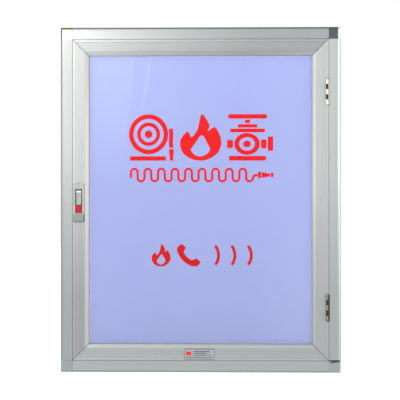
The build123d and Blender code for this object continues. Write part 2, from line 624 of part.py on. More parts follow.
def build_nozzle():
    def axis(z):
        return (NOZZLE_X, NOZZLE_Y, z)

    outline = [
        (34, -118), (34, -104), (30, -80), (27, -75), (27, -45), (25.5, -42), (21, 90), (20, 94),
        (20, 126), (17.5, 130), (16, 158), (16, 168), (13.4, 168), (13.4, 150), (17, 90), (21, -42),
        (26, -80), (29, -118)]
    nodes["nozzle_barrel"] = turned(axis(0), UP, outline)
    tip = turned(axis(156), UP, [
        (9.5, 0), (13.3, 0), (13.3, 12.1), (18.5, 12.1), (18.5, 26), (16.5, 32), (9.5, 32)])
    nodes["nozzle_tip"] = tip
    ring = turned(axis(-160), UP, [
        (30, 0), (47, 0), (49, 3), (49, 16), (42, 20), (42, 38), (37, 42), (30, 42)])
    ring = ring - rod(axis(-160), UP, 36, 4)
    for index in range(2):
        angle = math.radians(90 + 180 * index)
        lug = (NOZZLE_X + 49 * math.cos(angle), NOZZLE_Y + 49 * math.sin(angle), -160)
        ring = ring - rod(lug, UP, 7, 16)
    nodes["nozzle_coupling"] = ring
    nodes["nozzle_seal"] = tube(axis(-160), UP, 36, 30.5, 3.9)

    clips, rivets = [], []
    for z, radius in CLIPS:
        outer, inner = radius + 1.8, radius + 0.3
        spans = (z - 10, z + 10)
        clip = rod((NOZZLE_X, NOZZLE_Y, z - 10), UP, outer, 20)
        clip = clip + block((NOZZLE_X - outer, NOZZLE_X + outer), (NOZZLE_Y - 12, NOZZLE_Y), spans)
        clip = clip - block((NOZZLE_X - 60, NOZZLE_X + 60), (NOZZLE_Y - 60, NOZZLE_Y - 12), (z - 11, z + 11))
        clip = clip + block((NOZZLE_X - 10, NOZZLE_X + 10), (NOZZLE_Y + inner - 4, -SHEET), spans)
        clip = clip - block(
            (NOZZLE_X - 8.5, NOZZLE_X + 8.5), (NOZZLE_Y + outer, -SHEET - 1.5), (z - 11, z + 11))
        clip = clip - rod((NOZZLE_X, NOZZLE_Y, z - 11), UP, inner, 22)
        clip = clip - block((NOZZLE_X - inner, NOZZLE_X + inner), (NOZZLE_Y - 60, NOZZLE_Y), (z - 11, z + 11))
        clips.append(clip - rod((NOZZLE_X, 0, z), AHEAD, 2.0, 6))
        rivets.append(rod((NOZZLE_X, -0.2, z), AHEAD, 2.0, 2.5) + turned(
            (NOZZLE_X, -SHEET - 1.5, z), AHEAD, [(0, 0), (4, 0), (3, 1.4), (0, 1.8)]))
    nodes["nozzle_clips"] = join(clips)
    return rivets


def call_screws():
    return [(CALL_X - 34, CALL_Z), (CALL_X + 34, CALL_Z)]


def build_call_point():
    base = block((CALL_X - 45, CALL_X + 45), (-11.2, -SHEET), (CALL_Z - 45, CALL_Z + 45))
    base = fillet(base.edges().filter_by(Axis.Y), 6.0)
    screws = []
    for x, z in call_screws():
        base = base - rod((x, 1, z), AHEAD, 2.0, 20) - rod((x, -8.2, z), AHEAD, 4.2, 4)
        head = turned((x, -8.2, z), AHEAD, [(0, 0), (4, 0), (3, 2), (0, 2.4)])
        screws.append(rod((x, -0.2, z), AHEAD, 2.0, 8.0) + head)
    nodes["call_point_base"] = base
    cover = block((CALL_X - 45, CALL_X + 45), (-46, -11.2), (CALL_Z - 45, CALL_Z + 45))
    cover = fillet(cover.edges().filter_by(Axis.Y), 6.0)
    cover = fillet(cover.faces().sort_by(Axis.Y)[0].edges(), 3.0)
    cover = cover - block((CALL_X - 42, CALL_X + 42), (-32, -11), (CALL_Z - 42, CALL_Z + 42))
    cover = cover - block((CALL_X - 26, CALL_X + 26), (-47, -38), (CALL_Z - 26, CALL_Z + 26))
    nodes["call_point_cover"] = cover
    plate = block((CALL_X - 25.6, CALL_X + 25.6), (-45, -41.5), (CALL_Z - 25.6, CALL_Z + 25.6))
    nodes["call_point_plate"] = chamfer(plate.faces().sort_by(Axis.Y)[0].edges(), 0.8)

    z = HALF_H - SHEET_INSET
    gland = rod((CALL_X, GLAND_Y, z + 0.4), DOWN, 10.2, 22)
    gland = gland + hexagon((CALL_X, GLAND_Y, z - SHEET - 6), DOWN, 24, 6)
    gland = gland + rod((CALL_X, GLAND_Y, z + 1.2), DOWN, 13.5, 1.2)
    gland = gland - rod((CALL_X, GLAND_Y, z + 2), DOWN, 6.5, 30)
    nut = hexagon((CALL_X, GLAND_Y, z - SHEET), DOWN, 26, 4)
    nodes["cable_gland"] = join([gland, nut - rod((CALL_X, GLAND_Y, z), DOWN, 10.2, 8)])
    return screws


def main():
    shanks = build_frame()
    build_box(shanks)
    build_hinges()
    build_door()
    build_latch()
    build_valve()
    nodes["kit_fixings"] = join(build_cradle() + build_nozzle() + build_call_point())
    os.makedirs("parts", exist_ok=True)
    for name, shape in nodes.items():
        export_step(shape, f"parts/{name}.step")
    print(len(nodes), "nodes")


main()
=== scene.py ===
"""Looks of the standpipe cabinet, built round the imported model.

Metres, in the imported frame: X right, Y back, Z up.
"""
import json
import math

import bpy
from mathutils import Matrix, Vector


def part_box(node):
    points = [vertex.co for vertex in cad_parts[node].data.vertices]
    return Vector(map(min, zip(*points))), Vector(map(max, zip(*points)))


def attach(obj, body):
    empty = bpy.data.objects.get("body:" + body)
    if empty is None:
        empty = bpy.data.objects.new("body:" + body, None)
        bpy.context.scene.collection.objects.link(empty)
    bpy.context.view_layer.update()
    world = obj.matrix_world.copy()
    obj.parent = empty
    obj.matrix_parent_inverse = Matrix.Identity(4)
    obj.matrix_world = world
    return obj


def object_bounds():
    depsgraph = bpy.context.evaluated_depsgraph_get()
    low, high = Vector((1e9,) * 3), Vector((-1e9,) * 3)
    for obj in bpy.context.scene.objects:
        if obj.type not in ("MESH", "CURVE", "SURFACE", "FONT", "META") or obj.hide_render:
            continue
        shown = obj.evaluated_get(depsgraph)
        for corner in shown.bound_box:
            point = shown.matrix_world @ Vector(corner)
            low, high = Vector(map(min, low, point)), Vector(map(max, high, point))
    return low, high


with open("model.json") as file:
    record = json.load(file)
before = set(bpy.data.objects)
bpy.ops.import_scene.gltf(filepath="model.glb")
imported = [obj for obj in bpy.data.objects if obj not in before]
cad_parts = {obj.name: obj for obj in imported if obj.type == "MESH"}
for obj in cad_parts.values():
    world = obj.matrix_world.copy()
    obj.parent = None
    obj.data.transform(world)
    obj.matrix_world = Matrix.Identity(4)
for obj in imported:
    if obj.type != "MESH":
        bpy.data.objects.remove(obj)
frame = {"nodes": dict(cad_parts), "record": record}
nodes = frame["nodes"]
cad_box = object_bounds()
scene = bpy.context.scene


# ---------------------------------------------------------------- node graphs
RAMP = ("From Min", "From Max", "To Min", "To Max")
MIX_INPUTS, MIX_RESULT = (0, 6, 7), 2   # a colour Mix node's factor, A and B, and its result
EDGE_TURN = (0.995, 0.8)                # cosine between the true and the rounded normal: flat, edge
BLACK, WHITE = (0.0, 0.0, 0.0), (1.0, 1.0, 1.0)


class Graph:
    """A Principled material and short ways to add nodes to it."""

    def __init__(self, name, colour, metallic=0.0, roughness=0.5, **inputs):
        self.material = bpy.data.materials.new(name)
        self.material.use_nodes = True
        self.tree = self.material.node_tree
        self.shader = self.tree.nodes["Principled BSDF"]
        self.set("Base Color", (*colour, 1.0))
        self.set("Metallic", metallic)
        self.set("Roughness", roughness)
        for key, value in inputs.items():
            self.set(key.replace("_", " "), value)
        self.point = self.add("ShaderNodeTexCoord").outputs["Object"]

    def set(self, socket, value):
        self.shader.inputs[socket].default_value = value

    def add(self, kind, **settings):
        node = self.tree.nodes.new(kind)
        for key, value in settings.items():
            setattr(node, key, value)
        return node

    def link(self, source, target):
        self.tree.links.new(source, target)

    def stretched(self, scale):
        """The object's coordinates, or these times a scale for each axis."""
        if scale is None:
            return self.point
        node = self.add("ShaderNodeMapping")
        node.inputs["Scale"].default_value = scale
        self.link(self.point, node.inputs["Vector"])
        return node.outputs["Vector"]

    def noise(self, scale, detail=4.0, roughness=0.55, stretch=None, distortion=0.0):
        node = self.add("ShaderNodeTexNoise")
        node.inputs["Scale"].default_value = scale
        node.inputs["Detail"].default_value = detail
        node.inputs["Roughness"].default_value = roughness
        node.inputs["Distortion"].default_value = distortion
        self.link(self.stretched(stretch), node.inputs["Vector"])
        return node.outputs["Fac"]

    def cells(self, scale):
        node = self.add("ShaderNodeTexVoronoi")
        node.inputs["Scale"].default_value = scale
        self.link(self.point, node.inputs["Vector"])
        return node.outputs

    def levels(self, source, low, high, to_low=0.0, to_high=1.0, smooth=False):
        """A clamped ramp; low may be above high, and the ramp then runs the other way."""
        shape = "SMOOTHSTEP" if smooth else "LINEAR"
        node = self.add("ShaderNodeMapRange", interpolation_type=shape)
        for key, value in zip(RAMP, (low, high, to_low, to_high)):
            node.inputs[key].default_value = value
        self.link(source, node.inputs["Value"])
        return node.outputs["Result"]

    def math(self, operation, a, b=0.0):
        node = self.add("ShaderNodeMath", operation=operation)
        for index, value in enumerate((a, b)):
            if isinstance(value, (int, float)):
                node.inputs[index].default_value = value
            else:
                self.link(value, node.inputs[index])
        return node.outputs["Value"]

    def times(self, first, *others):
        for other in others:
            first = self.math("MULTIPLY", first, other)
        return first

    def plus(self, a, b):
        return self.math("ADD", a, b)

    def rest(self, mask):
        return self.math("SUBTRACT", 1.0, mask)

    def mix(self, factor, a, b):
        """Colour a where factor is 0, b where it is 1."""
        node = self.add("ShaderNodeMix", data_type="RGBA")
        for index, value in zip(MIX_INPUTS, (factor, a, b)):
            socket = node.inputs[index]
            if isinstance(value, (int, float)):
                socket.default_value = value
            elif isinstance(value, tuple):
                socket.default_value = (*value[:3], 1.0)
            else:
                self.link(value, socket)
        return node.outputs[MIX_RESULT]

    def separate(self):
        node = self.add("ShaderNodeSeparateXYZ")
        self.link(self.point, node.inputs["Vector"])
        return node.outputs

    def edges(self, radius):
        """A mask of edges, 0 on flat faces."""
        rounded = self.add("ShaderNodeBevel", samples=4)
        rounded.inputs["Radius"].default_value = radius
        flat = self.add("ShaderNodeNewGeometry")
        dot = self.add("ShaderNodeVectorMath", operation="DOT_PRODUCT")
        self.link(rounded.outputs["Normal"], dot.inputs[0])
        self.link(flat.outputs["Normal"], dot.inputs[1])
        return self.levels(dot.outputs["Value"], *EDGE_TURN)

    def bump(self, *layers, rounding=0.0):
        """Each layer is (height, distance in metres); rounding softens sharp edges."""
        normal = None
        if rounding:
            node = self.add("ShaderNodeBevel", samples=4)
            node.inputs["Radius"].default_value = rounding
            normal = node.outputs["Normal"]
        for height, distance in layers:
            node = self.add("ShaderNodeBump")
            node.inputs["Strength"].default_value = 1.0
            node.inputs["Distance"].default_value = distance
            self.link(height, node.inputs["Height"])
            if normal:
                self.link(normal, node.inputs["Normal"])
            normal = node.outputs["Normal"]
        self.link(normal, self.shader.inputs["Normal"])

    def paint(self, colour=None, roughness=None):
        if colour is not None:
            self.link(colour, self.shader.inputs["Base Color"])
        if roughness is not None:
            self.link(roughness, self.shader.inputs["Roughness"])
        return self.material


def tint(colour, factor):
    return tuple(min(1.0, channel * factor) for channel in colour)


# ---------------------------------------------------------------- materials
DOOR_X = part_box("door_stile_right")[1].x
DOOR_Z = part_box("door_rail_top")[1].z

# Where the metal's tone changes, in metres: the place where a change starts, then where it is complete.
EASED = (-0.2340, -0.2346)              # y, the frame's eased outer edge
CHAMFER = (0.3186, 0.3194)              # x, the right-hand part of that edge, painted pale as a highlight
RIGHT_RIM, LEFT_RIM = (0.3230, 0.3238), (-0.3200, -0.3210)          # x, the outer rims of the upright bars, painted dark as shade
TOP_RIM, BOTTOM_RIM = (0.3950, 0.3963), (-0.3955, -0.3968)          # z, the outer rims of the level bars, painted dark as shade
UPRIGHT_BEVEL, LEVEL_BEVEL = (0.2688, 0.2682), (0.3438, 0.3432)     # distance from the middle: the door's bevels, which carry painted shade and painted highlights
LEFT_BEVEL = (-0.2695, -0.2680)         # x, the left bevel, mostly spared the painted shade
MITRE = (0.0007, 0.0018)                # distance from a mitre's line
BLOCK_CHAMFER = (0.3188, 0.3196)        # x, the top right block's eased edge, painted pale as a highlight
BLOCK_STAIN = (0.3942, 0.3955)          # z, the brown line along the top left block
BLOCK_TOP, BLOCK_SIDE = (0.3965, 0.3970), (-0.3210, -0.3216)        # z and x, that block's rim, painted dark as shade
CHIP_LEFT, CHIP_RIGHT = (0.3005, 0.3012), (0.3222, 0.3214)          # x, ends of the torn joint, painted dark as shade
CHIP_SLOPE, CHIP_DEPTH = 0.16, 0.012    # rise of its lower edge with x, and how ragged that edge is
CHIP_EDGE = (-0.4211, -0.4203)          # z of that edge, where x is 0
HINGE_FLANGE = (0.2957, 0.2963)         # x, the frame leaf beside the hinge's barrel
LOWER_HINGE = (-0.05, -0.10)            # z
LATCH_X = -0.2827                       # middle of the latch's window
LATCH_FOOT = (-0.0312, -0.0332)         # z, the plate below the button
LATCH_RIM = (-0.2726, -0.2716)          # x, that plate's right side, painted dark as shade
LEVER_TIP = (0.0165, 0.0190)            # z, the lever's upper end, where a highlight is painted
BUTTON_WORN, BUTTON_RIM = (0.006, 0.001), (0.0066, 0.0074)          # distance from LATCH_X

# pale colours painted on the aluminium as highlights
PAINTED_HIGHLIGHT = (0.95, 0.95, 0.95)
WARM_PAINTED_HIGHLIGHT = (0.95, 0.95, 0.94)
MITRE_DIRT = (0.10, 0.10, 0.095)


def upright_painted_light(g, shade, x, y, z, mitred, painted_shade_left):
    """An upright bar's painted light and shade: painted shade darker towards its foot, painted
    highlights paler on both outer sides.
    """
    eased = g.levels(y, *EASED)
    # painted shade: darker towards the foot, more so on the left
    darkening = g.times(g.levels(z, 0.06, -0.22), g.levels(x, -0.1, -0.2, 0.15, painted_shade_left))
    if mitred:
        bevel = g.times(g.levels(x, *LEFT_BEVEL), g.levels(x, 0.0, -0.05))
        darkening = g.times(darkening, g.rest(g.times(bevel, 0.9)))
        # painted highlight towards the left side
        shade = g.mix(g.levels(x, -0.24, -0.26, 0.0, 0.12), shade, WARM_PAINTED_HIGHLIGHT)
        # painted shade on the upper part of the bevels
        upper = g.times(g.levels(z, 0.05, 0.28), g.levels(x, -0.1, 0.1, 0.14, 0.22))
        darkening = g.plus(darkening, g.times(upper, g.levels(g.math("ABSOLUTE", x), *UPRIGHT_BEVEL)))
    else:
        # painted shade at the top of the left frame upright
        darkening = g.plus(darkening, g.times(g.levels(z, 0.12, 0.28, 0.0, 0.12), g.levels(x, -0.1, -0.2)))
    # painted highlight towards the right side
    shade = g.mix(g.levels(x, 0.24, 0.26, 0.0, 0.14 if mitred else 0.10), shade, WARM_PAINTED_HIGHLIGHT)
    # painted highlight on the right-hand chamfer, painted shade on its lower part
    shade = g.mix(g.times(eased, g.levels(x, *CHAMFER, 0.0, 0.5)), shade, (0.85, 0.84, 0.80))
    darkening = g.plus(darkening, g.times(eased, g.levels(z, -0.10, -0.32, 0.0, 0.14), g.levels(x, *CHAMFER)))
    # painted shade along the outer rims
    rim = g.plus(g.levels(x, *RIGHT_RIM, 0.0, 0.78), g.levels(x, *LEFT_RIM, 0.0, 0.5))
    return g.mix(g.times(eased, rim), shade, (0.30, 0.29, 0.26)), darkening


def level_painted_light(g, shade, x, y, z, mitred):
    """A level bar's painted light and shade: the top ones get a painted highlight at the left and
    painted shade at the right.
    """
    top = g.levels(z, 0.0, 0.05)
    # painted shade at the right of the top bars, painted highlight at their left
    darkening = g.times(top, g.levels(x, -0.08, 0.12, 0.0, 0.14))
    shade = g.mix(g.times(top, g.levels(x, -0.10, -0.28, 0.0, 0.12)), shade, PAINTED_HIGHLIGHT)
    if mitred:
        # painted highlights on the top bevel's ends, painted shade on the bottom bevel
        bevel = g.levels(g.math("ABSOLUTE", z), *LEVEL_BEVEL)
        ends = g.plus(g.levels(x, -0.05, -0.24, 0.0, 0.26), g.levels(x, 0.14, 0.24, 0.0, 0.12))
        shade = g.mix(g.times(bevel, top, ends), shade, PAINTED_HIGHLIGHT)
        foot = g.times(g.levels(z, 0.0, -0.05), g.levels(x, 0.15, -0.2, 0.02, 0.17))
        return shade, g.plus(darkening, g.times(bevel, foot))
    # painted shade along the outer rims
    rims = g.plus(g.levels(z, *TOP_RIM, 0.0, 0.28), g.levels(z, *BOTTOM_RIM, 0.0, 0.22))
    return shade, g.plus(darkening, g.times(g.levels(y, *EASED), rims))


def extrusion(name, colour, along, roughness=0.36, mitred=False, painted_shade_left=0.16):
    """Satin anodised aluminium: die lines and a silky grain along the bar, and dirt in the mitres."""
    g = Graph(name, colour, 0.92, roughness)
    stretch = tuple(0.012 if axis == along else 1.0 for axis in "xyz")
    lines = g.noise(900, 3, 0.6, stretch)
    bands = g.noise(95, 4, 0.6, stretch)
    clouds = g.noise(5.5, 3, 0.5)
    grain = g.noise(2600, 2, 0.5)
    red, green, blue = colour
    shade = g.mix(g.levels(bands, 0.3, 0.7), tint(colour, 0.955), tint(colour, 1.03))
    shade = g.mix(g.levels(lines, 0.35, 0.7, 0.0, 0.35), shade, tint(colour, 0.93))
    shade = g.mix(g.levels(clouds, 0.35, 0.7, 0.0, 0.25), shade, (red * 0.97, green, blue * 0.985))
    rough = g.plus(g.levels(bands, 0.25, 0.75, roughness - 0.03, roughness + 0.04),
                   g.levels(grain, 0.2, 0.8, -0.02, 0.03))
    x, y, z = g.separate()
    if along == "z":
        shade, darkening = upright_painted_light(g, shade, x, y, z, mitred, painted_shade_left)
    else:
        shade, darkening = level_painted_light(g, shade, x, y, z, mitred)
    # the painted shade, mixed towards black
    shade = g.mix(darkening, shade, BLACK)
    if mitred:
        across = g.math("SUBTRACT", g.math("ABSOLUTE", x), g.math("ABSOLUTE", z))
        off = g.math("ABSOLUTE", g.math("SUBTRACT", across, DOOR_X - DOOR_Z))
        shade = g.mix(g.levels(off, *MITRE, 0.6, 0.0), shade, MITRE_DIRT)
    g.bump((lines, 0.00001), (grain, 0.000006), rounding=0.0003)
    return g.paint(shade, rough)


def ragged_chip_and_shade(g, x, z):
    """A mask of the torn joint at the top of the bottom right corner block: partly a chip, and painted
    shade where the gap falls dark, with crumbs in it.
    """
    ragged = g.times(g.noise(210, 3, 0.7), CHIP_DEPTH)
    torn = g.plus(g.math("SUBTRACT", z, g.times(x, CHIP_SLOPE)), ragged)
    span = g.times(g.levels(x, *CHIP_LEFT), g.levels(x, *CHIP_RIGHT), g.levels(z, 0.0, -0.05))
    crumbs = g.levels(g.noise(430, 2), 0.36, 0.50, 0.35, 1.0)
    return g.times(span, g.levels(torn, *CHIP_EDGE), crumbs)


def corner_casting():
    """Coated die-castings: pale blue-grey below, a painted dark reflection in slate at the top right, a
    painted white highlight at the top left.
    """
    base = (0.31, 0.335, 0.35)
    g = Graph("corner_casting", base, 0.55, 0.3)
    x, y, z = g.separate()
    eased = g.levels(y, *EASED)
    top, right = g.levels(z, 0.05, 0.10), g.levels(x, 0.05, 0.10)
    shade = g.mix(g.levels(g.noise(60, 4), 0.3, 0.7), tint(base, 0.96), tint(base, 1.04))
    # painted highlight on the top right block's eased edge
    chamfer = g.times(eased, g.levels(x, *BLOCK_CHAMFER))
    dark_reflection = g.mix(chamfer, (0.080, 0.095, 0.104), (0.66, 0.66, 0.63))
    white = g.mix(g.levels(z, *BLOCK_STAIN), (0.93, 0.93, 0.925), (0.42, 0.22, 0.07))
    # painted shade on the top left block's rim
    outer = g.math("MAXIMUM", g.levels(z, *BLOCK_TOP), g.levels(x, *BLOCK_SIDE))
    white = g.mix(g.times(eased, outer), white, (0.10, 0.11, 0.10))
    # the painted dark reflection at the top right and the painted highlight at the top left
    shade = g.mix(g.times(top, right), shade, dark_reflection)
    shade = g.mix(g.times(top, g.rest(right)), shade, white)
    # painted shade in the torn joint
    shade = g.mix(ragged_chip_and_shade(g, x, z), shade, (0.02, 0.02, 0.02))
    grain = g.noise(1500, 3)
    g.bump((grain, 0.00001), rounding=0.0006)
    return g.paint(shade, g.levels(grain, 0.2, 0.8, 0.24, 0.34))


def powder_coat(name, colour, roughness=0.42):
    """Powder coat on steel: orange peel, faint clouding and rubbed edges."""
    peel = 0.00003
    g = Graph(name, colour, 0.0, roughness, Coat_Weight=0.15, Coat_Roughness=0.25)
    clouds = g.noise(7, 4, 0.6)
    peel_map = g.noise(520, 2, 0.5)
    fine = g.noise(2200, 2, 0.5)
    shade = g.mix(g.levels(clouds, 0.3, 0.7), tint(colour, 0.955), tint(colour, 1.035))
    worn = g.times(g.edges(0.0009), g.levels(g.noise(160, 5, 0.7), 0.48, 0.62))
    shade = g.mix(g.times(worn, 0.55), shade, tint(colour, 0.6))
    g.bump((peel_map, peel), (fine, peel * 0.25), rounding=0.0004)
    return g.paint(shade, g.levels(peel_map, 0.2, 0.8, roughness - 0.05, roughness + 0.06))


def cast_paint(name, colour):
    """Gloss enamel over sand-cast iron: soft lumps under the paint, grime, chipped edges."""
    g = Graph(name, colour, 0.0, 0.32, Coat_Weight=0.4, Coat_Roughness=0.12)
    lumps = g.noise(120, 5, 0.6)
    sand = g.noise(700, 4, 0.6)
    shade = g.mix(g.levels(lumps, 0.3, 0.7), tint(colour, 0.84), tint(colour, 1.12))
    grime = g.levels(g.noise(24, 5, 0.65), 0.5, 0.8, 0.0, 0.4)
    shade = g.mix(grime, shade, tint(colour, 0.5))
    chips = g.times(g.edges(0.0012), g.levels(g.noise(240, 5, 0.75), 0.55, 0.62))
    shade = g.mix(chips, shade, (0.16, 0.12, 0.10))
    g.bump((lumps, 0.00035), (sand, 0.00012), rounding=0.0008)
    return g.paint(shade, g.levels(sand, 0.25, 0.75, 0.24, 0.42))


def machined(name, colour, roughness, grain_scale=(1, 1, 0.05), metallic=1.0, darkening=0.8):
    """Turned or drawn metal: fine tool lines, dull patches and handling marks."""
    g = Graph(name, colour, metallic, roughness)
    lines = g.noise(1400, 3, 0.6, grain_scale)
    patches = g.noise(40, 5, 0.65)
    shade = g.mix(g.levels(patches, 0.42, 0.7, 0.0, 0.6), colour, tint(colour, darkening))
    shade = g.mix(g.levels(lines, 0.4, 0.7, 0.0, 0.3), shade, tint(colour, 0.86))
    rough = g.plus(g.levels(patches, 0.3, 0.75, roughness - 0.05, roughness + 0.12),
                   g.levels(lines, 0.2, 0.8, -0.03, 0.04))
    g.bump((lines, 0.000012), rounding=0.0003)
    return g.paint(shade, rough)


def galvanised():
    """Hot-dip zinc on pipe: spangle and a milky bloom."""
    base = (0.56, 0.58, 0.60)
    g = Graph("galvanised", base, 0.85, 0.42)
    cell = g.cells(210)
    bright = g.add("ShaderNodeSeparateColor")
    g.link(cell["Color"], bright.inputs["Color"])
    shade = g.mix(bright.outputs[0], tint(base, 0.78), tint(base, 1.14))
    shade = g.mix(g.levels(g.noise(30, 5, 0.6), 0.5, 0.75, 0.0, 0.5), shade, (0.72, 0.73, 0.73))
    g.bump((g.noise(300, 4), 0.00008), rounding=0.0005)
    return g.paint(shade, g.levels(bright.outputs[1], 0, 1, 0.30, 0.52))


def rubber():
    """Black extruded rubber with a little dust on it."""
    base = (0.03, 0.03, 0.032)
    g = Graph("gasket_rubber", base, 0.0, 0.72, Specular_IOR_Level=0.35)
    speckle = g.noise(900, 4, 0.6)
    dust = g.levels(g.noise(18, 5, 0.65), 0.45, 0.75, 0.0, 0.35)
    shade = g.mix(dust, g.mix(speckle, tint(base, 0.75), tint(base, 1.25)), (0.16, 0.155, 0.15))
    g.bump((speckle, 0.00003), rounding=0.0003)
    return g.paint(shade, g.levels(speckle, 0.2, 0.8, 0.64, 0.80))


def foam():
    """Closed-cell strip: small open bubbles on the cut faces, painted darker in their hollows as shade.
    """
    base = (0.30, 0.30, 0.31)
    g = Graph("seal_foam", base, 0.0, 0.9, Specular_IOR_Level=0.2)
    bubble = g.levels(g.cells(1500)["Distance"], 0.1, 0.6)
    # painted shade: darker in the bubbles' hollows
    shade = g.mix(bubble, tint(base, 0.45), tint(base, 1.5))
    g.bump((bubble, 0.00015))
    return g.paint(shade)


def moulded(name, colour, roughness=0.3, texture=0.00001, scale=900.0):
    """Injection-moulded plastic: light texture, slight flow shading, scuffed edges."""
    g = Graph(name, colour, 0.0, roughness)
    spark = g.noise(scale, 3, 0.55)
    flow = g.noise(22, 4, 0.6)
    shade = g.mix(g.levels(flow, 0.3, 0.7), tint(colour, 0.93), tint(colour, 1.07))
    scuffs = g.times(g.edges(0.0006), g.levels(g.noise(300, 4, 0.7), 0.5, 0.62))
    shade = g.mix(g.times(scuffs, 0.35), shade, tint(colour, 1.5))
    g.bump((spark, texture), rounding=0.0004)
    return g.paint(shade, g.levels(spark, 0.2, 0.8, roughness - 0.05, roughness + 0.07))


def latch_plate():
    """Zinc casting: a warm speckled upper half, a darker foot below the button, and painted shade along
    its lower edge and the foot's right side.
    """
    base = (0.44, 0.43, 0.39)
    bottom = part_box("latch_housing")[0].z
    g = Graph("latch_silver", base, 0.55, 0.38)
    x, _, z = g.separate()
    foot = g.levels(z, *LATCH_FOOT)
    speckle = g.levels(g.noise(700, 4, 0.65), 0.38, 0.66)
    hands = g.noise(70, 5, 0.65)
    shade = g.mix(speckle, tint(base, 0.70), tint(base, 1.18))
    shade = g.mix(g.levels(hands, 0.35, 0.7, 0.0, 0.5), shade, tint(base, 0.8))
    shade = g.mix(g.times(foot, 0.8), shade, (0.225, 0.225, 0.215))
    # painted shade along the lower edge and the foot's right side
    below = g.levels(z, bottom + 0.0026, bottom + 0.0014)
    beside = g.times(foot, g.levels(x, *LATCH_RIM))
    shade = g.mix(g.times(g.math("MAXIMUM", below, beside), 0.6), shade, (0.06, 0.06, 0.055))
    g.bump((speckle, 0.00006), rounding=0.0004)
    return g.paint(shade, g.levels(hands, 0.3, 0.75, 0.30, 0.5))


def lever_metal():
    """Satin lever: a painted highlight at its upper end, soft bands along it."""
    base = (0.395, 0.405, 0.40)
    g = Graph("latch_lever", base, 0.75, 0.34)
    z = g.separate()["Z"]
    pits = g.noise(900, 4, 0.6)
    bands = g.noise(260, 3, 0.6, (1, 1, 0.06))
    shade = g.mix(g.levels(bands, 0.35, 0.7), tint(base, 0.88), tint(base, 1.12))
    # painted highlight at the upper end
    shade = g.mix(g.levels(z, *LEVER_TIP), shade, (0.78, 0.79, 0.78))
    shade = g.mix(g.times(g.edges(0.0007), 0.5), shade, tint(base, 1.3))
    g.bump((pits, 0.00003), rounding=0.0004)
    return g.paint(shade, g.levels(pits, 0.3, 0.75, 0.28, 0.42))


def button():
    """Moulded red push button, rubbed duller in the middle and dark round its edge."""
    base = (0.32, 0.009, 0.020)
    g = Graph("button_red", base, 0.0, 0.34, Specular_IOR_Level=0.2)
    spark = g.noise(900, 3, 0.55)
    across = g.math("ABSOLUTE", g.plus(g.separate()["X"], -LATCH_X))
    worn = g.times(g.levels(across, *BUTTON_WORN), g.levels(g.noise(260, 4, 0.6), 0.35, 0.6))
    shade = g.mix(g.levels(g.noise(22, 4, 0.6), 0.3, 0.7), tint(base, 0.92), tint(base, 1.08))
    shade = g.mix(g.times(worn, 0.35), shade, (0.30, 0.07, 0.03))
    shade = g.mix(g.levels(across, *BUTTON_RIM, 0.0, 0.7), shade, (0.14, 0.005, 0.009))
    g.bump((spark, 0.00002), rounding=0.0005)
    return g.paint(shade, g.levels(spark, 0.2, 0.8, 0.28, 0.42))


def hinge_metal():
    """Bright steel above, browned by weather below."""
    base = (0.80, 0.77, 0.70)
    g = Graph("hinge_bright", base, 0.85, 0.26)
    x, _, z = g.separate()
    lower = g.levels(z, *LOWER_HINGE)
    stain = g.levels(g.noise(420, 5, 0.7), 0.3, 0.7)
    shade = g.mix(g.levels(stain, 0.4, 1.0, 0.0, 0.3), base, tint(base, 0.72))
    rusty = g.levels(g.noise(330, 3, 0.6), 0.42, 0.56, 0.45, 0.95)
    shade = g.mix(g.times(lower, rusty), shade, (0.13, 0.095, 0.07))
    flange = g.levels(x, *HINGE_FLANGE)
    shade = g.mix(g.times(flange, 0.85), shade, (0.66, 0.52, 0.37))
    shade = g.mix(g.times(flange, lower, 0.98), shade, (0.10, 0.055, 0.03))
    g.bump((g.noise(1200, 3), 0.00001), rounding=0.0002)
    return g.paint(shade, g.levels(stain, 0, 1, 0.2, 0.38))


def glass():
    """Float glass, shown as a thin pale layer; the film behind carries its polish."""
    g = Graph("glass", (0.44, 0.482, 0.79), 0.0, 0.05, Alpha=0.16, Specular_IOR_Level=1.0, IOR=1.6)
    smear = g.noise(5, 5, 0.62, (1.0, 1.0, 0.45), distortion=0.6)
    return g.paint(None, g.levels(smear, 0.4, 0.75, 0.02, 0.10))


# pale colour of the painted highlights and reflections on the film
FILM_HIGHLIGHT = (0.68, 0.755, 1.0)
HIGHLIGHT_X, HIGHLIGHT_Z, HIGHLIGHT_REACH = -0.29, 0.36, 0.42      # middle and radius of the round painted highlight
SLANT, SLANT_EDGE = 0.109, (-0.1870, -0.1905)       # the painted reflection's slanted edge: lean of x with z, x at z = 0
STREAK, STREAK_X, STREAK_HALF = 0.163, -0.1701, (0.0055, 0.0025)    # the painted reflection's streak: the same, half width
FILM_RIMS = (                           # axis, at the bevel, further in, how much paler at the bevel: painted light against the bevel's shadow
    ("x", -0.2585, -0.2525, 0.62), ("x", 0.2570, 0.2510, 0.20),
    ("z", -0.3335, -0.3275, 0.42), ("z", 0.3335, 0.3275, 0.28),
)


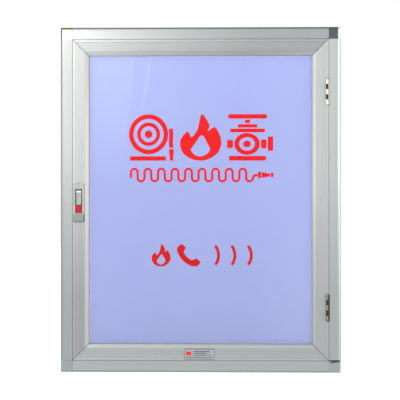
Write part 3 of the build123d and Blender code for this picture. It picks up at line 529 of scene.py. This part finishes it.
def film():
    """Lavender-blue film bonded behind the glass, with painted light: paler towards the top, most of
    all in the upper left, where a painted reflection gives it a slanted edge and a streak, paler at
    both sides, and paler all round next to the bevels against their shadow."""
    base = (0.445, 0.488, 0.812)
    g = Graph("backing_film", base, 0.0, 0.55, Coat_Weight=1.0, Coat_Roughness=0.03)
    place = dict(zip("xyz", g.separate()))
    x, z = place["x"], place["z"]
    across, up = g.plus(x, -HIGHLIGHT_X), g.math("SUBTRACT", z, HIGHLIGHT_Z)
    reach = g.math("SQRT", g.plus(g.times(across, across), g.times(up, up)))
    # painted light: darker at the bottom, paler at the top and in the upper left
    shade = g.mix(g.levels(z, -0.34, 0.34), tint(base, 0.86), tint(base, 1.08))
    shade = g.mix(g.levels(reach, 0.0, HIGHLIGHT_REACH, 0.42, 0.0, True), shade, FILM_HIGHLIGHT)
    # painted reflection: a slanted edge and a streak
    slant = g.math("SUBTRACT", x, g.times(z, SLANT))
    edge = g.times(g.levels(slant, *SLANT_EDGE, 0.0, 0.42), g.levels(z, 0.05, 0.30))
    shade = g.mix(edge, shade, FILM_HIGHLIGHT)
    line = g.math("ABSOLUTE", g.plus(g.math("SUBTRACT", x, g.times(z, STREAK)), -STREAK_X))
    streak = g.times(g.levels(line, *STREAK_HALF, 0.0, 0.45), g.levels(z, 0.17, 0.27))
    shade = g.mix(streak, shade, FILM_HIGHLIGHT)
    # painted light towards both sides
    sides = g.plus(g.levels(x, 0.10, 0.26, 0.0, 0.20), g.levels(x, -0.16, -0.26, 0.0, 0.08))
    shade = g.mix(sides, shade, (0.66, 0.73, 1.0))
    clouds = g.noise(3.2, 3, 0.5)
    fibre = g.noise(700, 3, 0.6)
    shade = g.mix(g.levels(clouds, 0.3, 0.7, 0.0, 0.12), shade, (0.46, 0.47, 0.82))
    shade = g.mix(g.levels(fibre, 0.3, 0.7, 0.0, 0.05), shade, tint(base, 0.9))
    # painted light next to the bevels, against their shadow
    rim = 0.0
    for axis, near, far, strength in FILM_RIMS:
        rim = g.math("MAXIMUM", rim, g.levels(place[axis], near, far, strength, 0.0))
    shade = g.mix(rim, shade, WHITE)
    g.bump((fibre, 0.000008))
    return g.paint(shade)


def ink(name, colour):
    """Screen-printed or cut vinyl colour."""
    g = Graph(name, colour, 0.0, 0.5, Specular_IOR_Level=0.08)
    cloud = g.noise(45, 4, 0.6)
    grain = g.noise(1800, 2, 0.5)
    shade = g.mix(g.levels(cloud, 0.3, 0.7), tint(colour, 0.95), tint(colour, 1.05))
    g.bump((grain, 0.000004))
    return g.paint(shade, g.levels(grain, 0.2, 0.8, 0.44, 0.58))


def pale_floor():
    """Matt and nearly white; its glow keeps it even under the soft boxes."""
    g = Graph("pale_floor", (0.86, 0.86, 0.86), 0.0, 0.9, Specular_IOR_Level=0.1)
    shade = g.mix(g.levels(g.noise(1.6, 2), 0.3, 0.7), (0.855, 0.855, 0.855), (0.865, 0.865, 0.865))
    g.set("Emission Color", (*WHITE, 1.0))
    g.set("Emission Strength", 0.62)
    return g.paint(shade)


ALUMINIUM = (0.487, 0.497, 0.489)
RED = (0.555, 0.0105, 0.012)
materials = {
    # the door's uprights: a slightly paler copy of the aluminium, as painted light, with stronger
    # painted shade on the left
    "stile": extrusion("aluminium_upright", (0.497, 0.501, 0.487), "z", mitred=True, painted_shade_left=0.27),
    "rail": extrusion("aluminium_level", ALUMINIUM, "x", mitred=True),
    "frame_stile": extrusion("aluminium_frame_upright", tint(ALUMINIUM, 0.99), "z", 0.33),
    "frame_rail": extrusion("aluminium_frame_level", tint(ALUMINIUM, 0.99), "x", 0.33),
    "corner_casting": corner_casting(),
    "box_paint": powder_coat("box_paint", (0.50, 0.515, 0.52)),
    "hinge_bright": hinge_metal(),
    "hinge_dark": machined("hinge_dark", (0.035, 0.032, 0.03), 0.3, metallic=0.6),
    "zinc_fixings": machined("zinc_fixings", (0.62, 0.63, 0.64), 0.3),
    "glass": glass(),
    "backing_blue": film(),
    "gasket_rubber": rubber(),
    "seal_foam": foam(),
    "plate_silver": machined("plate_silver", (0.50, 0.52, 0.53), 0.36, (0.02, 1, 1)),
    "latch_silver": latch_plate(),
    "latch_lever": lever_metal(),
    "hinge_pin": machined("hinge_pin", (0.10, 0.095, 0.09), 0.35),
    "latch_case_metal": powder_coat("latch_case", (0.045, 0.045, 0.048), 0.45),
    "button_red": button(),
    "spring_steel": machined("spring_steel", (0.5, 0.5, 0.5), 0.3),
    "valve_red": cast_paint("valve_enamel", (0.48, 0.018, 0.014)),
    "valve_brass": machined("valve_brass", (0.72, 0.50, 0.20), 0.27, darkening=0.6),
    "galvanised": galvanised(),
    "coupling_aluminium": machined("coupling_aluminium", (0.66, 0.67, 0.68), 0.36, (1, 1, 0.2)),
    "cradle_wire": powder_coat("cradle_wire", (0.50, 0.02, 0.016), 0.36),
    "call_red": moulded("call_point_red", (0.58, 0.016, 0.014), 0.3),
    "call_black": moulded("call_point_black", (0.022, 0.022, 0.024), 0.5, 0.00003, 500),
    "call_white": moulded("call_point_white", (0.78, 0.78, 0.75), 0.28),
}
SPECIAL = {                             # nodes whose look differs from their slot's
    "door_stile_left": "stile", "door_stile_right": "stile",
    "door_rail_top": "rail", "door_rail_bottom": "rail",
    "latch_lever": "latch_lever", "hinge_pins": "hinge_pin",
    "frame_left": "frame_stile", "frame_right": "frame_stile",
    "frame_top": "frame_rail", "frame_bottom": "frame_rail",
}
slot_of = {part["node"]: part["material_slot"] for part in frame["record"]["subparts"]}
for name, obj in nodes.items():
    chosen = materials[SPECIAL.get(name, slot_of[name])]
    obj.data.materials.clear()
    obj.data.materials.append(chosen)


# ---------------------------------------------------------------- printed shapes on the door
def circle(cx, cz, r, count=72, start=0.0, end=360.0):
    """Points round a circle, or along an arc with both its ends."""
    points = count + (end - start < 360)
    steps = [math.radians(start + (end - start) * i / count) for i in range(points)]
    return [(cx + r * math.cos(a), cz + r * math.sin(a)) for a in steps]


def bar(x0, z0, x1, z1, r=0.0):
    """A rectangle, its corners rounded if r is given."""
    if r <= 0:
        return [(x0, z0), (x1, z0), (x1, z1), (x0, z1)]
    left, right, low, high = x0 + r, x1 - r, z0 + r, z1 - r
    points = []
    for cx, cz, start in ((right, low, -90), (right, high, 0), (left, high, 90), (left, low, 180)):
        points += circle(cx, cz, r, 6, start, start + 90)
    return points


def stroke(points, width):
    """The outline of a band of even width along a line of points."""
    left, right = [], []
    for index, (x, z) in enumerate(points):
        before = points[max(index - 1, 0)]
        after = points[min(index + 1, len(points) - 1)]
        dx, dz = after[0] - before[0], after[1] - before[1]
        length = math.hypot(dx, dz) or 1.0
        nx, nz = -dz / length * width / 2, dx / length * width / 2
        left.append((x + nx, z + nz))
        right.append((x - nx, z - nz))
    return left + right[::-1]


def curved(points, count=14):
    """A smooth closed loop through points, by Catmull and Rom's cubic."""
    def along(a, b, c, d, t):
        square, cube = 2 * a - 5 * b + 4 * c - d, 3 * b - a - 3 * c + d
        return 0.5 * (2 * b + (c - a) * t + square * t * t + cube * t ** 3)

    loop, size = [], len(points)
    for i in range(size):
        near = [points[(i + k - 1) % size] for k in range(4)]
        for step in range(count):
            loop.append(tuple(along(*values, step / count) for values in zip(*near)))
    return loop


def fitted(loops, x0, z0, x1, z1):
    """Loops scaled and moved so that together they fill a rectangle."""
    xs = [x for loop in loops for x, z in loop]
    zs = [z for loop in loops for x, z in loop]
    left, low = min(xs), min(zs)
    kx, kz = (x1 - x0) / (max(xs) - left), (z1 - z0) / (max(zs) - low)
    return [[(x0 + (x - left) * kx, z0 + (z - low) * kz) for x, z in loop] for loop in loops]


# The shapes below are drawn about their middle in a square of side 1; fitted() gives them their size.
def flame():
    """A flame with a pointed hollow."""
    outer = curved([(0.02, 0.54), (0.16, 0.30), (0.14, 0.16), (0.27, 0.24), (0.38, -0.05),
                    (0.33, -0.32), (0.12, -0.50), (-0.14, -0.50), (-0.34, -0.33), (-0.38, -0.06),
                    (-0.25, 0.14), (-0.17, 0.02), (-0.06, 0.20)])
    inner = curved([(0.02, 0.06), (0.12, -0.12), (0.17, -0.28), (0.06, -0.41), (-0.08, -0.41),
                    (-0.18, -0.28), (-0.10, -0.12)])
    return [outer, inner]


def reel():
    """A hose reel, seen along its axle, with its hose end and its foot."""
    loops = [circle(-0.065, 0.075, r) for r in (0.435, 0.335, 0.255, 0.175, 0.085)]
    loops.append(stroke([(0.43, 0.20), (0.44, 0.05), (0.43, -0.10), (0.44, -0.22)], 0.09))
    loops.append([(0.385, -0.25), (0.50, -0.25), (0.475, -0.50), (0.41, -0.50)])
    loops.append(bar(-0.48, -0.50, 0.32, -0.405, 0.02))
    return loops


def hydrant():
    """A landing valve: handwheel, stem, bonnet, body, outlet and foot."""
    wheel, stem = bar(-0.38, 0.43, 0.38, 0.53, 0.04), bar(-0.05, 0.325, 0.05, 0.405)
    bonnet, collar = bar(-0.19, 0.225, 0.19, 0.30, 0.02), bar(-0.34, 0.115, 0.34, 0.20, 0.02)
    body = [circle(-0.01, -0.15, r, count) for r, count in ((0.25, 60), (0.155, 60), (0.075, 40))]
    outlet = [bar(0.265, -0.25, 0.37, -0.05), bar(0.395, -0.31, 0.50, 0.02, 0.02)]
    back, foot = bar(-0.40, -0.24, -0.285, -0.06), bar(-0.36, -0.53, 0.36, -0.425, 0.02)
    return [wheel, stem, bonnet, collar, *body, *outlet, back, foot]


def handset():
    """A telephone handset on a slant, its cups towards the upper right."""
    side = [(0.0, 0.27), (0.18, 0.25), (0.40, 0.18), (0.52, 0.06), (0.53, -0.08), (0.49, -0.17),
            (0.29, -0.17), (0.26, -0.06), (0.20, 0.03), (0.0, 0.06)]
    whole = side + [(-u, v) for u, v in side[-2:0:-1]]
    turn = math.sqrt(0.5)
    return [[((-u - v) * turn, (u - v) * turn) for u, v in whole]]


def hose(x0, x1, z, height, width, folds):
    """A hose laid in even upright folds, then its coupling and its tapered nozzle, from x0 to x1."""
    fittings = 0.050
    pitch = (x1 - x0 - fittings) / folds
    bend, reach = pitch / 2, height / 2 - width / 2 - pitch / 2
    turns = [math.pi * i / 10 for i in range(11)]
    path = []
    for fold in range(folds):
        x, way = x0 + width / 2 + fold * pitch, (1 if fold % 2 == 0 else -1)
        path.append((x, z - way * reach))
        path += [(x + bend - bend * math.cos(a), z + way * (reach + bend * math.sin(a))) for a in turns]
    x, way = path[-1][0], (1 if folds % 2 == 0 else -1)
    path += [(x + bend - bend * math.cos(a), z - way * bend * (1 - math.sin(a))) for a in turns[:6]]
    start = path[-1][0] + 0.003
    path.append((start, z))
    coupling = bar(start + 0.001, z - 0.0075, start + 0.008, z + 0.0075, 0.001)
    taper = [(start + 0.0095, z - 0.0065), (x1 - 0.007, z - 0.0032), (x1 - 0.007, z + 0.0032),
             (start + 0.0095, z + 0.0065)]
    return [stroke(path, width), coupling, taper, bar(x1 - 0.0055, z - 0.0055, x1, z + 0.0055, 0.001)]


def printed(name, loops, face_y, thickness, material, body):
    """Flat shapes on a face that looks along -Y. Inner loops are holes."""
    curve = bpy.data.curves.new(name, "CURVE")
    curve.dimensions = "2D"
    curve.fill_mode = "BOTH"
    curve.extrude = thickness / 2
    for loop in loops:
        spline = curve.splines.new("POLY")
        spline.points.add(len(loop) - 1)
        for point, (x, z) in zip(spline.points, loop):
            point.co = (x, z, 0, 1)
        spline.use_cyclic_u = True
    draft = bpy.data.objects.new(name + "_draft", curve)
    scene.collection.objects.link(draft)
    bpy.context.view_layer.update()
    built = draft.evaluated_get(bpy.context.evaluated_depsgraph_get())
    mesh = bpy.data.meshes.new_from_object(built)
    bpy.data.objects.remove(draft)
    for vertex in mesh.vertices:
        x, z, depth = vertex.co
        vertex.co = (x, face_y - thickness / 2 - depth, z)
    mesh.name = name
    mesh.materials.clear()
    mesh.materials.append(material)
    obj = bpy.data.objects.new(name, mesh)
    scene.collection.objects.link(obj)
    obj.visible_shadow = obj.visible_diffuse = False    # so thin a shape leaves no halo round it
    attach(obj, body)


vinyl = ink("vinyl_red", RED)
vinyl_deep = ink("vinyl_deep_red", tint(RED, 0.78))
dark_ink = ink("plate_ink", (0.05, 0.05, 0.055))
red_ink = ink("plate_red", (0.75, 0.03, 0.03))
glass_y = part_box("glass_pane")[0].y
VINYL = 0.00012                         # thickness
BIG_LOW, BIG_HIGH = 0.0911, 0.1985      # the upper row of signs
LOW, HIGH = -0.1546, -0.1026            # the lower row
waves = [stroke(circle(x - 0.030, (LOW + HIGH) / 2, 0.036, 12, -38, 38), 0.0068)
         for x in (0.036, 0.074, 0.112)]
signs = (
    ("sign_reel", fitted(reel(), -0.1661, BIG_LOW, -0.0615, BIG_HIGH), vinyl),
    ("sign_flame", fitted(flame(), -0.0475, BIG_LOW, 0.0484, BIG_HIGH), vinyl),
    ("sign_hydrant", fitted(hydrant(), 0.0617, BIG_LOW, 0.1687, BIG_HIGH), vinyl),
    ("sign_hose", hose(-0.1643, 0.1691, 0.0575, 0.034, 0.0052, 18), vinyl),
    ("sign_small_flame", fitted(flame(), -0.1135, LOW, -0.0695, HIGH), vinyl_deep),
    ("sign_handset", fitted(handset(), -0.0540, LOW, 0.0000, HIGH), vinyl_deep),
    ("sign_call", waves, vinyl_deep),
)
for name, loops, material in signs:
    printed(name, loops, glass_y, VINYL, material, "door")

low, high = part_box("rating_plate")
x0, x1, z0, z1 = low.x, high.x, low.z, high.z
PRINT = 0.00006                         # thickness
outline = [bar(x0 + inset, z0 + inset, x1 - inset, z1 - inset, r)
           for inset, r in ((0.0012, 0.0012), (0.0020, 0.0008))]
mark = [bar(x0 + 0.0050, z0 + 0.0105, x0 + 0.0170, z1 - 0.0065, 0.0008)]
rows = [bar(x0 + 0.022, z1 - 0.0082, x1 - 0.012, z1 - 0.0062),
        bar(x0 + 0.022, z1 - 0.0122, x1 - 0.020, z1 - 0.0108),
        bar(x0 + 0.022, z1 - 0.0158, x1 - 0.009, z1 - 0.0144),
        bar(x0 + 0.005, z0 + 0.0052, x1 - 0.006, z0 + 0.0064)]
for name, loops, material in (("plate_outline", outline, dark_ink), ("plate_mark", mark, red_ink),
                              ("plate_rows", rows, dark_ink)):
    printed(name, loops, low.y, PRINT, material, "door")


# ---------------------------------------------------------------- floor, light and camera
def aim(obj, target):
    """Turns a lamp or the camera, which look along their own -Z, to a point."""
    obj.rotation_mode = "QUATERNION"
    obj.rotation_quaternion = (Vector(target) - obj.location).to_track_quat("-Z", "Y")


def floor(z):
    """A wide plain floor; the metal doesn't mirror it."""
    mesh = bpy.data.meshes.new("floor")
    size = 30.0
    corners = [(-size, -size, z), (size, -size, z), (size, size, z), (-size, size, z)]
    mesh.from_pydata(corners, [], [(0, 1, 2, 3)])
    mesh.materials.append(pale_floor())
    obj = bpy.data.objects.new("floor", mesh)
    obj.visible_glossy = False
    scene.collection.objects.link(obj)


def softbox(name, place, size, power, colour):
    """A rectangular lamp at a place, aimed at the middle of the cabinet's front."""
    light = bpy.data.lights.new(name, "AREA")
    light.shape = "RECTANGLE"
    light.size, light.size_y = size
    light.energy = power
    light.color = colour
    obj = bpy.data.objects.new(name, light)
    obj.location = place
    aim(obj, MIDDLE)
    obj.visible_camera = False
    scene.collection.objects.link(obj)


def studio_air():
    """Even pale surroundings, dimmed in the directions of DIMMED; the camera sees plain white."""
    world = bpy.data.worlds.new("studio")
    scene.world = world
    world.use_nodes = True
    tree = world.node_tree
    tree.nodes.clear()
    link = tree.links.new

    def node(kind, **settings):
        new = tree.nodes.new(kind)
        for key, value in settings.items():
            setattr(new, key, value)
        return new

    direction = node("ShaderNodeSeparateXYZ")
    link(node("ShaderNodeTexCoord").outputs["Generated"], direction.inputs["Vector"])
    level = None
    for axis, low, high, factor in DIMMED:
        ramp = node("ShaderNodeMapRange", interpolation_type="SMOOTHSTEP")
        for key, value in zip(RAMP, (low, high, 1.0, factor)):
            ramp.inputs[key].default_value = value
        link(direction.outputs[axis], ramp.inputs["Value"])
        if level is None:
            level = ramp.outputs["Result"]
        else:
            product = node("ShaderNodeMath", operation="MULTIPLY")
            link(level, product.inputs[0])
            link(ramp.outputs["Result"], product.inputs[1])
            level = product.outputs["Value"]
    seen = node("ShaderNodeBackground")
    seen.inputs["Color"].default_value = (*WHITE, 1.0)
    cast = node("ShaderNodeBackground")
    cast.inputs["Color"].default_value = (*AIR, 1.0)
    link(level, cast.inputs["Strength"])
    mix = node("ShaderNodeMixShader")
    link(node("ShaderNodeLightPath").outputs["Is Camera Ray"], mix.inputs["Fac"])
    link(cast.outputs["Background"], mix.inputs[1])
    link(seen.outputs["Background"], mix.inputs[2])
    link(mix.outputs["Shader"], node("ShaderNodeOutputWorld").inputs["Surface"])


MIDDLE = (0.0, -0.2, 0.0)
AIR = (0.837, 0.881, 0.907)
DIMMED = (("Z", 0.88, 0.99, 0.30), ("X", 0.45, 0.85, 0.95))     # axis, starts, ends, factor there
SUN = (1.0, 0.985, 0.955)
SOFTBOXES = (                           # name, place, size, watts, colour
    ("key", (-1.2, -2.0, 1.1), (1.0, 1.0), 27.6, SUN),
    ("key_side", (-1.3, -1.2, 0.5), (0.6, 0.8), 0.7, (1.0, 0.98, 0.95)),
    ("glow_left", (-0.6, -1.1, 0.4), (0.4, 0.6), 0.8, WHITE),
    ("glow_right", (0.7, -1.1, 0.25), (0.3, 0.5), 1.0, (1.0, 1.0, 0.94)),
    ("right", (1.8, -0.5, 0.1), (1.6, 1.6), 7.0, SUN),
)
floor(cad_box[0].z - 0.0005)
studio_air()
for lamp in SOFTBOXES:
    softbox(*lamp)

SPAN = 0.9256                           # width of the view at the door's face
REACH = 7.0                             # from the camera to the door's face
SENSOR = 36.0                           # mm
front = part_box("door_stile_left")[0].y
camera_data = bpy.data.cameras.new("camera")
camera = bpy.data.objects.new("camera", camera_data)
scene.collection.objects.link(camera)
scene.camera = camera
camera.location = (0.38, front - REACH, -0.034)
camera_data.sensor_width = SENSOR
camera_data.lens = SENSOR * REACH / SPAN
aim(camera, (-0.0007, front, -0.0004))
camera_data.clip_start, camera_data.clip_end = 0.05, 100.0

scene.view_settings.view_transform = "Standard"
scene.view_settings.look = "None"
